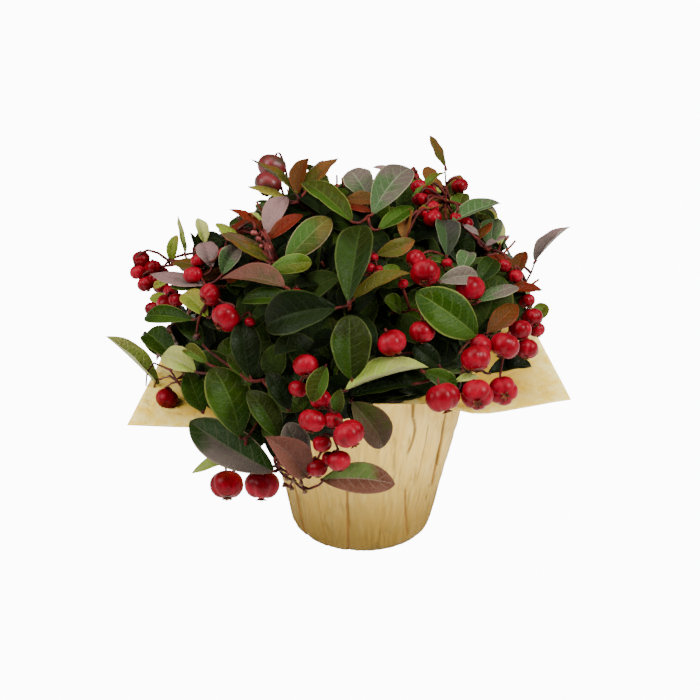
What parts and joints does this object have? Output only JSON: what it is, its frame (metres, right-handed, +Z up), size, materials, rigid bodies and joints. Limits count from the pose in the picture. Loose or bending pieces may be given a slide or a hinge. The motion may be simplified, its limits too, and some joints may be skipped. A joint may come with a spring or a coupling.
{
  "type": "potted wintergreen shrub",
  "caption": "Low evergreen shrub with leathery green and bronze leaves and glossy red berries, in a nursery pot inside a pleated kraft paper cover with a flared square collar.",
  "frame": {"origin": "centre of the flat underside of the paper cover, on which the plant stands", "axes": "+Z up along the pot's axis, front towards -Y, right towards +X"},
  "size_m": [0.2374, 0.2382, 0.208],
  "materials": {
    "cover_paper": "matte kraft paper with a faint gold sheen",
    "pot_plastic": "matte dark brown",
    "compost": "rough, moist",
    "bark": "thin reddish-brown bark",
    "foliage": "leathery leaves with red berries"
  },
  "bodies": {
    "root": {"paper_cover": "cover_paper", "nursery_pot": "pot_plastic", "compost": "compost", "stem": "bark", "bough_top": "bark", "bough_upper_front": "bark", "bough_upper_right": "bark", "bough_upper_back_right": "bark", "bough_upper_back_left": "bark", "bough_upper_left": "bark", "bough_front": "bark", "bough_front_right": "bark", "bough_right": "bark", "bough_back_right": "bark", "bough_back": "bark", "bough_back_left": "bark", "bough_left": "bark", "bough_front_left": "bark", "mass_top": "foliage", "mass_upper_front": "foliage", "mass_upper_right": "foliage", "mass_upper_back_right": "foliage", "mass_upper_back_left": "foliage", "mass_upper_left": "foliage", "mass_front": "foliage", "mass_front_right": "foliage", "mass_right": "foliage", "mass_back_right": "foliage", "mass_back": "foliage", "mass_back_left": "foliage", "mass_left": "foliage", "mass_front_left": "foliage"}
  },
  "joints": []
}
